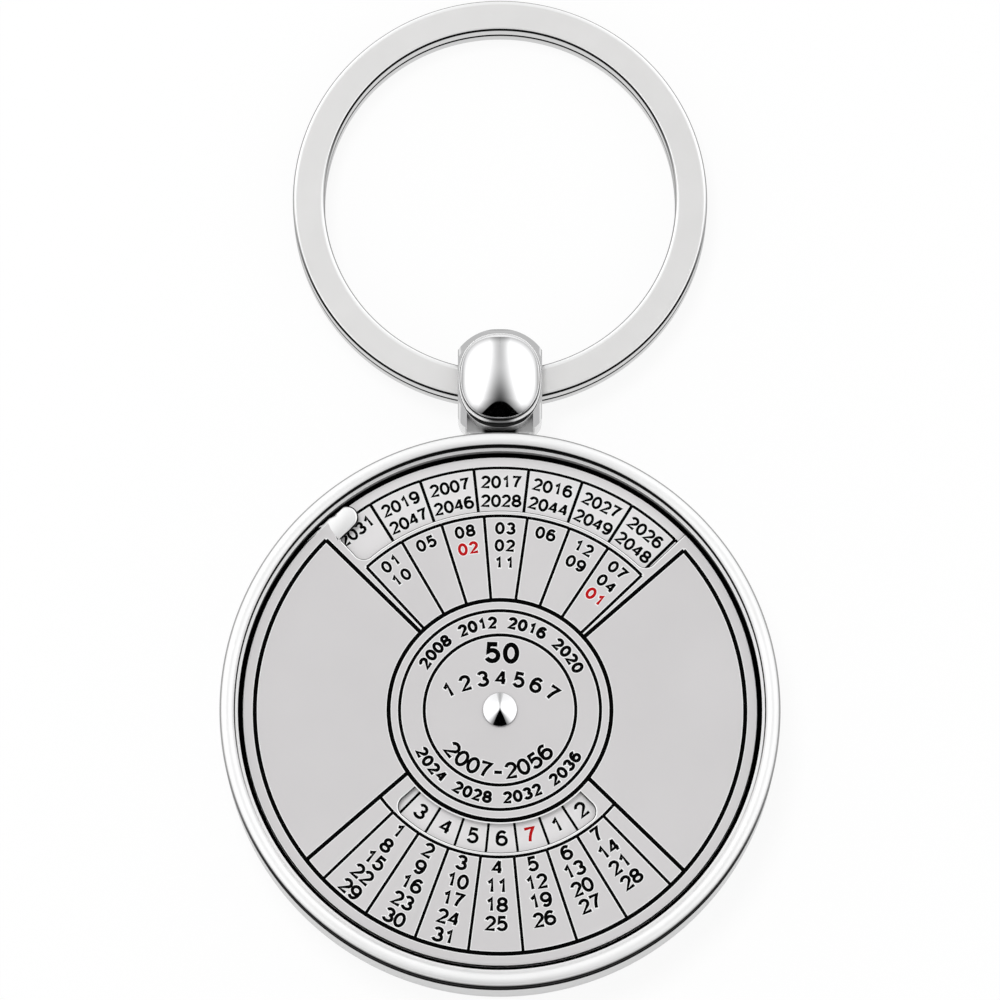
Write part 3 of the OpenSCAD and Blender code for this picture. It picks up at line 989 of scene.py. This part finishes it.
def wound_ring():
    """One strip wound twice round, stepping from the lower coil to the upper one inside the link's eye."""
    bm = bmesh.new()
    low = -COIL_T - COIL_GAP / 2
    whole = 360 - STEP_ANGLE
    count = (2 * whole + STEP_ANGLE) // STRIP_PITCH
    rows = []
    for i in range(count + 1):
        along = i * STRIP_PITCH
        share = min(max((along - whole) / STEP_ANGLE, 0), 1)
        rise = (COIL_T + COIL_GAP) * share * share * (3 - 2 * share)
        a = math.radians(along + STEP_ANGLE / 2 - 90)
        row = []
        for u, w in strip_section():
            x = (inner_r + u) * math.cos(a)
            y = ring_reach + (inner_r + u) * math.sin(a)
            row.append(bm.verts.new((x * MM, y * MM, (low + rise + w) * MM)))
        rows.append(row)
    for here, there in zip(rows, rows[1:]):
        for k in range(len(here)):
            n = (k + 1) % len(here)
            bm.faces.new((here[k], here[n], there[n], there[k]))
    bm.faces.new(rows[0])
    bm.faces.new(rows[-1])
    mark_creases(bm, STRIP_CREASE_TURN)
    lean = Matrix.Rotation(math.radians(-RING_LEAN), 4, "X")
    lie = Matrix.Translation((0, eye_y * MM, eye_z * MM)) @ lean
    bmesh.ops.transform(bm, matrix=lie, verts=bm.verts)
    piece = mesh_piece("wound_ring", bm, nickel, "ring", smooth=True)
    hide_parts("split_ring")


lathe("turned_case", case_section(), CASE_SIDES, case_chrome, "case", "case")
lathe("domed_rivet", rivet_section(), RIVET_SIDES, chrome, "case", "pivot_rivet")
wound_ring()


# Printed tables of the turning cover

# Months of each column from its top; a minus sign marks one that is printed in red
MONTHS = ["01 10", "05", "08 -02", "03 02 11", "06", "12 09", "07 04 -01"]
MONTH_TOP_R = 14.05
MONTH_PITCH = 12.7
MONTH_H = 0.92
MONTH_WEIGHT = 0.23
MONTH_FIRST = 0.9
MONTH_ROW = 1.25
SECTOR_R = 17.5
SECTOR_W = 0.3
SECTOR_TOP_ANGLE = 47.05
SECTOR_FOOT_ANGLE = 47.3
SECTOR_FOOT_OFFSET = 0.9
DAYS = 31
DAY_TOP_R = 10.58
DAY_FIRST_R = 11.3
DAY_ROW = 1.345
DAY_H = 1.12
DAY_WEIGHT = 0.21
DAY_SPREAD = 0.85
DAY_TURN = -0.7


def month_table():
    """The months over the hub, as numbers, and the red ones for leap years."""
    black, red = [], []
    reach = MONTH_PITCH * len(MONTHS) / 2
    black.append(line(arc(MONTH_TOP_R, -reach, reach)))
    for i in range(len(MONTHS) + 1):
        angle = i * MONTH_PITCH - reach
        black.append(line([polar(HUB_RING_R, angle), polar(MONTH_TOP_R, angle)]))
    for i, column in enumerate(MONTHS):
        angle = (i + 0.5) * MONTH_PITCH - reach
        for row, name in enumerate(column.split()):
            target = red if name.startswith("-") else black
            r = MONTH_TOP_R - MONTH_FIRST - row * MONTH_ROW
            target += number_at(name.strip("-"), r, angle, MONTH_H, MONTH_WEIGHT)
    return black, red


def foot_point(r, side):
    """Where the foot line of a blank sector meets a radius; the line runs beside a radial one."""
    out = polar(1, side * (180 - SECTOR_FOOT_ANGLE))
    away = polar(1, side * (90 - SECTOR_FOOT_ANGLE))
    return out * math.sqrt(r * r - SECTOR_FOOT_OFFSET ** 2) + away * SECTOR_FOOT_OFFSET


def sector_lines():
    """The outer line round the cover and the edges of the two blank sectors."""
    strokes = [line(arc(SECTOR_R, SECTOR_TOP_ANGLE, 360 - SECTOR_TOP_ANGLE), SECTOR_W)]
    for side in (-1, 1):
        top = side * SECTOR_TOP_ANGLE
        strokes.append(line([polar(HUB_RING_R, top), polar(SECTOR_R, top)], SECTOR_W))
        strokes.append(line([foot_point(HUB_RING_R, side), foot_point(SECTOR_R, side)], SECTOR_W))
    return strokes


def day_table():
    """The days of the month in seven columns under the weekday window."""
    strokes = []
    ends = [foot_point(DAY_TOP_R, side) for side in (1, -1)]
    from_angle, to_angle = [math.degrees(math.atan2(p.x, p.y)) % 360 for p in ends]
    strokes.append(line(arc(DAY_TOP_R, from_angle, to_angle)))
    for i in range(WEEK + 1):
        angle = 180 + DAY_TURN + (i - WEEK / 2) * COLUMN_PITCH
        strokes.append(line([polar(DAY_TOP_R, angle), polar(SECTOR_R, angle)]))
    for day in range(DAYS):
        row, column = divmod(day, WEEK)
        angle = 180 + DAY_TURN - (column - MIDDLE_COLUMN) * COLUMN_PITCH
        r = DAY_FIRST_R + row * DAY_ROW
        strokes += number_at(str(day + 1), r, angle, DAY_H, DAY_WEIGHT, inward=True, spread=DAY_SPREAD)
    return strokes


FIRST_YEAR = 2007
LAST_YEAR = 2056
# Rings round the hub: radius and width of line
HUB_RINGS = [(HUB_RING_R, 0.3), (7.17, 0.235), (5.41, 0.235)]
HUB_YEARS_ABOVE = "2008 2012 2016 2020"
HUB_YEARS_BELOW = "2024 2028 2032 2036"
HUB_YEARS_R = 6.32
HUB_YEARS_H = 0.92
HUB_YEARS_PITCH = 6.6
HUB_YEARS_WEIGHT = 0.26
SPAN_R = 4.42
SPAN_H = 1.24
SPAN_PITCH = 12
SPAN_WEIGHT = 0.2
COUNT_R = 4.12
COUNT_H = 1.55
COUNT_WEIGHT = 0.22
# The weekdays on the hub stand along an arc whose middle lies below the rivet
WEEK_BEND_R = 7.27
WEEK_BEND_Y = -4.95
WEEK_PITCH = 10.2
WEEK_H = 1.18
WEEK_WEIGHT = 0.21


def curved_number(text, r, middle, pitch, height, weight, inward=False):
    """A number bent round the dial's axis, one numeral at a time; a blank leaves a gap."""
    strokes = []
    side = -1 if inward else 1
    for i, digit in enumerate(text):
        if digit != " ":
            angle = middle + side * (i - (len(text) - 1) / 2) * pitch
            strokes += number_at(digit, r, angle, height, weight, inward=inward)
    return strokes


def hub_print():
    """Three rings round the rivet, leap years, the span and count of years, and the weekdays."""
    strokes = [line(ring(r), width, True) for r, width in HUB_RINGS]
    years = (HUB_YEARS_PITCH, HUB_YEARS_H, HUB_YEARS_WEIGHT)
    strokes += curved_number(HUB_YEARS_ABOVE, HUB_YEARS_R, 0, *years)
    strokes += curved_number(HUB_YEARS_BELOW, HUB_YEARS_R, 180, *years, inward=True)
    span = f"{FIRST_YEAR}-{LAST_YEAR}"
    strokes += curved_number(span, SPAN_R, 180, SPAN_PITCH, SPAN_H, SPAN_WEIGHT, inward=True)
    strokes += number_at(str(LAST_YEAR - FIRST_YEAR + 1), COUNT_R, 0, COUNT_H, COUNT_WEIGHT)
    for i in range(WEEK):
        angle = (i - MIDDLE_COLUMN) * WEEK_PITCH
        centre = polar(WEEK_BEND_R, angle) + Vector((0, WEEK_BEND_Y))
        strokes += number(str(i + 1), centre, angle, WEEK_H, WEEK_WEIGHT)
    return strokes


# Printed tables of the fixed base plate

YEARS_SHOWN = ["2031", "2019 2047", "2007 2046", "2017 2028", "2016 2044", "2027 2049", "2026 2048"]
YEAR_TOP_R = 17.65
YEAR_FOOT_R = 13.9
YEAR_RING_W = 0.2
YEAR_ROWS_R = (16.62, 15.25)
YEAR_H = 0.95
YEAR_WEIGHT = 0.21
YEAR_SPREAD = 0.9
YEAR_TURN = 0.3
WEEKDAY_INNER_R = 7.6
WEEKDAY_OUTER_R = 10.7
WEEKDAY_LINE_W = 0.19
WEEKDAY_R = 9.15
WEEKDAY_H = 1.16
WEEKDAY_WEIGHT = 0.19
WEEKDAY_TURN = -0.75
WEEKDAY_SHIFT = 2


def year_class(year):
    """Years of one class share a calendar from March on: their first day's weekday, one on in leap years."""
    leap = year % 4 == 0
    return (datetime.date(year, 1, 1).weekday() + leap) % WEEK


def year_columns():
    """The years of all columns: first the seven in the window, then the rest of each class in order."""
    shown = [[int(y) for y in column.split()] for column in YEARS_SHOWN]
    columns = list(shown)
    used = {y for column in shown for y in column}
    while len(columns) < COLUMNS:
        for first in shown:
            kind = year_class(first[0])
            years = range(FIRST_YEAR, LAST_YEAR + 1)
            left = [y for y in years if y not in used and year_class(y) == kind][:len(YEAR_ROWS_R)]
            columns.append(left)
            used.update(left)
    return columns


def year_table():
    """The years round the base plate in 28 columns of two rows."""
    strokes = [line(ring(YEAR_TOP_R), YEAR_RING_W, True)]
    for i, years in enumerate(year_columns()):
        angle = YEAR_TURN + (i - MIDDLE_COLUMN) * COLUMN_PITCH
        edge = angle + COLUMN_PITCH / 2
        strokes.append(line([polar(YEAR_FOOT_R, edge), polar(YEAR_TOP_R, edge)]))
        for year, r in zip(years, YEAR_ROWS_R):
            strokes += number_at(str(year), r, angle, YEAR_H, YEAR_WEIGHT, spread=YEAR_SPREAD)
    return strokes


def weekday_table():
    """The weekdays as the numbers 1 to 7, four times round, the seventh in red."""
    black, red = [], []
    for i in range(COLUMNS):
        angle = 180 + WEEKDAY_TURN - (i - MIDDLE_COLUMN) * COLUMN_PITCH
        edge = angle + COLUMN_PITCH / 2
        day = (i + WEEKDAY_SHIFT) % WEEK + 1
        black.append(line([polar(WEEKDAY_INNER_R, edge), polar(WEEKDAY_OUTER_R, edge)], WEEKDAY_LINE_W))
        target = red if day == WEEK else black
        target += number_at(str(day), WEEKDAY_R, angle, WEEKDAY_H, WEEKDAY_WEIGHT, inward=True)
    return black, red


month_black, month_red = month_table()
weekday_black, weekday_red = weekday_table()
PRINTS = [
    ("month_table", month_black, black_ink, "dial"),
    ("leap_months", month_red, red_ink, "dial"),
    ("sector_lines", sector_lines(), black_ink, "dial"),
    ("day_table", day_table(), black_ink, "dial"),
    ("hub_print", hub_print(), black_ink, "dial"),
    ("year_table", year_table(), black_ink, "case"),
    ("weekday_table", weekday_black, black_ink, "case"),
    ("rest_days", weekday_red, red_ink, "case"),
]
for name, strokes, finish, body in PRINTS:
    z = face_z if body == "dial" else base_z
    if body == "dial":
        strokes = turned(strokes, COVER_TURN)
    over = print_piece(name, strokes, z, finish, body)
    under = print_piece(name + "_underlay", strokes, z, underlay, body, UNDERLAY_MARGIN, UNDERLAY_T)
    for piece in (over, under):
        piece.visible_glossy = False


# Stage: world, floor, lamp and camera

# The world's light by direction: x to the right, y towards the ring and z up, from -1 to 1.
# A slope comes with the value at 0, and a smooth step with its two ends and the light at both.
CEILING_Y = (-0.8, 0.5, 0.04, 0.64)
BOX_EDGE = (-0.26, 0.46)
BOX_FALLOFF = 1.8
BOX_LEVEL = 1.3
LOW_FRONT_Y = (0.6, 0.48)
LOW_FRONT_RISE = 1.8
LOW_FRONT_LEAST = 0.15
FRONT_SLOPE = 2.2
FRONT_START_Y = -0.53
FRONT_LEAST = 0.3
HORIZON_Z = (-0.05, 0.32, 0.45, 1.0)
FLAG_TOP = (-0.34, 0.77)
FLAG_BEND = 2.66
FLAG_SOFT = 0.02
LEAST_AHEAD = 0.001
MATT_LEVEL = 0.65
WHITE = (*grey(1), 1)


def studio_world():
    """A white room for the camera, plain light for matt surfaces and a studio with softboxes for gloss."""
    world = bpy.data.worlds.new("studio")
    bpy.context.scene.world = world
    world.use_nodes = True
    tree = world.node_tree
    tree.nodes.clear()
    coords = tree.nodes.new("ShaderNodeTexCoord")
    split = tree.nodes.new("ShaderNodeSeparateXYZ")
    tree.links.new(coords.outputs["Generated"], split.inputs[0])
    x, y, z = split.outputs
    side = math_node(tree, "ABSOLUTE", x)
    # Softboxes at both sides, with a ceiling between them that is darker towards the front
    ceiling = ease(tree, y, *CEILING_Y)
    inside = math_node(tree, "DIVIDE", side, line_of(tree, y, *BOX_EDGE))
    boxes = math_node(tree, "POWER", clamped(tree, inside, 0, 1), BOX_FALLOFF)
    level = mix(tree, boxes, ceiling, BOX_LEVEL)
    # Less light from the front, from low in front and from near the floor
    low_front = math_node(tree, "ADD", line_of(tree, y, *LOW_FRONT_Y), product(tree, z, LOW_FRONT_RISE))
    low_front = clamped(tree, low_front, LOW_FRONT_LEAST, 1)
    front = line_of(tree, y, FRONT_SLOPE, 1 - FRONT_SLOPE * FRONT_START_Y)
    front = clamped(tree, front, FRONT_LEAST, 1)
    horizon = ease(tree, z, *HORIZON_Z)
    level = product(tree, level, low_front, front, horizon)
    # A dark flag in front of the dial, highest in the middle
    ahead = math_node(tree, "MAXIMUM", product(tree, y, -1), LEAST_AHEAD)
    azimuth = math_node(tree, "DIVIDE", side, ahead)
    spread = product(tree, azimuth, azimuth)
    bend = product(tree, spread, spread, FLAG_BEND)
    flag_top = math_node(tree, "SUBTRACT", line_of(tree, spread, *FLAG_TOP), bend)
    lit = above(tree, math_node(tree, "SUBTRACT", z, flag_top), 0, FLAG_SOFT)
    level = product(tree, level, lit)
    light_path = tree.nodes.new("ShaderNodeLightPath")
    level = mix(tree, light_path.outputs["Is Glossy Ray"], MATT_LEVEL, level)
    level = mix(tree, light_path.outputs["Is Camera Ray"], level, 1.0)
    background = tree.nodes.new("ShaderNodeBackground")
    background.inputs["Color"].default_value = WHITE
    tree.links.new(level, background.inputs["Strength"])
    output = tree.nodes.new("ShaderNodeOutputWorld")
    tree.links.new(background.outputs[0], output.inputs[0])


FLOOR_SIZE = 6000
FLOOR_Z = -0.02
FLOOR_TINT = (*grey(0.95), 1)
FLOOR_GLOW = 0.9


def floor():
    """A pale floor that looks white and keeps a faint shadow."""
    bm = bmesh.new()
    bmesh.ops.create_grid(bm, x_segments=1, y_segments=1, size=FLOOR_SIZE / 2 * MM)
    mesh = bpy.data.meshes.new("floor")
    bm.to_mesh(mesh)
    bm.free()
    piece = new_object("floor", mesh)
    piece.location.z = FLOOR_Z * MM
    material, tree, _ = new_material("floor")
    tree.nodes.clear()
    diffuse = tree.nodes.new("ShaderNodeBsdfDiffuse")
    diffuse.inputs["Color"].default_value = FLOOR_TINT
    glow = tree.nodes.new("ShaderNodeEmission")
    glow.inputs["Color"].default_value = WHITE
    blend = tree.nodes.new("ShaderNodeMixShader")
    path = tree.nodes.new("ShaderNodeLightPath")
    seen = math_node(tree, "MAXIMUM", path.outputs["Is Camera Ray"], path.outputs["Is Glossy Ray"])
    tree.links.new(product(tree, seen, FLOOR_GLOW), blend.inputs[0])
    tree.links.new(diffuse.outputs[0], blend.inputs[1])
    tree.links.new(glow.outputs[0], blend.inputs[2])
    output = tree.nodes.new("ShaderNodeOutputMaterial")
    tree.links.new(blend.outputs[0], output.inputs[0])
    mesh.materials.append(material)


LAMP_SIZE = 240
LAMP_POWER = 2.2
LAMP_AT = Vector((-120, 180, 700))
LAMP_AIM = Vector((0, 15, 0))


def soft_lamp():
    """A large lamp over the table, for a faint soft shadow."""
    lamp = bpy.data.lights.new("softbox", "AREA")
    lamp.shape = "DISK"
    lamp.size = LAMP_SIZE * MM
    lamp.energy = LAMP_POWER
    piece = new_object("softbox", lamp)
    piece.location = LAMP_AT * MM
    piece.rotation_euler = (LAMP_AIM * MM - piece.location).to_track_quat("-Z", "Y").to_euler()
    piece.visible_glossy = False


CAMERA_AIM = Vector((0, 16.16, 0))
CAMERA_DISTANCE = 600
CAMERA_TILT = 9.94
# Focal length and sensor in the camera's own millimetres, clipping distances in metres
CAMERA_LENS = 298.6
CAMERA_SENSOR = 36
CAMERA_NEAR = 0.01
CAMERA_FAR = 20


def camera():
    """A plain camera over the dial, moved a little towards the dial's foot."""
    tilt = math.radians(CAMERA_TILT)
    data = bpy.data.cameras.new("camera")
    data.sensor_width = CAMERA_SENSOR
    data.lens = CAMERA_LENS
    data.clip_start = CAMERA_NEAR
    data.clip_end = CAMERA_FAR
    piece = new_object("camera", data)
    back = Vector((0, -math.sin(tilt), math.cos(tilt)))
    piece.location = (CAMERA_AIM + back * CAMERA_DISTANCE) * MM
    piece.rotation_euler = (tilt, 0, 0)
    bpy.context.scene.camera = piece


studio_world()
floor()
soft_lamp()
camera()
bpy.context.scene.view_settings.view_transform = "Standard"
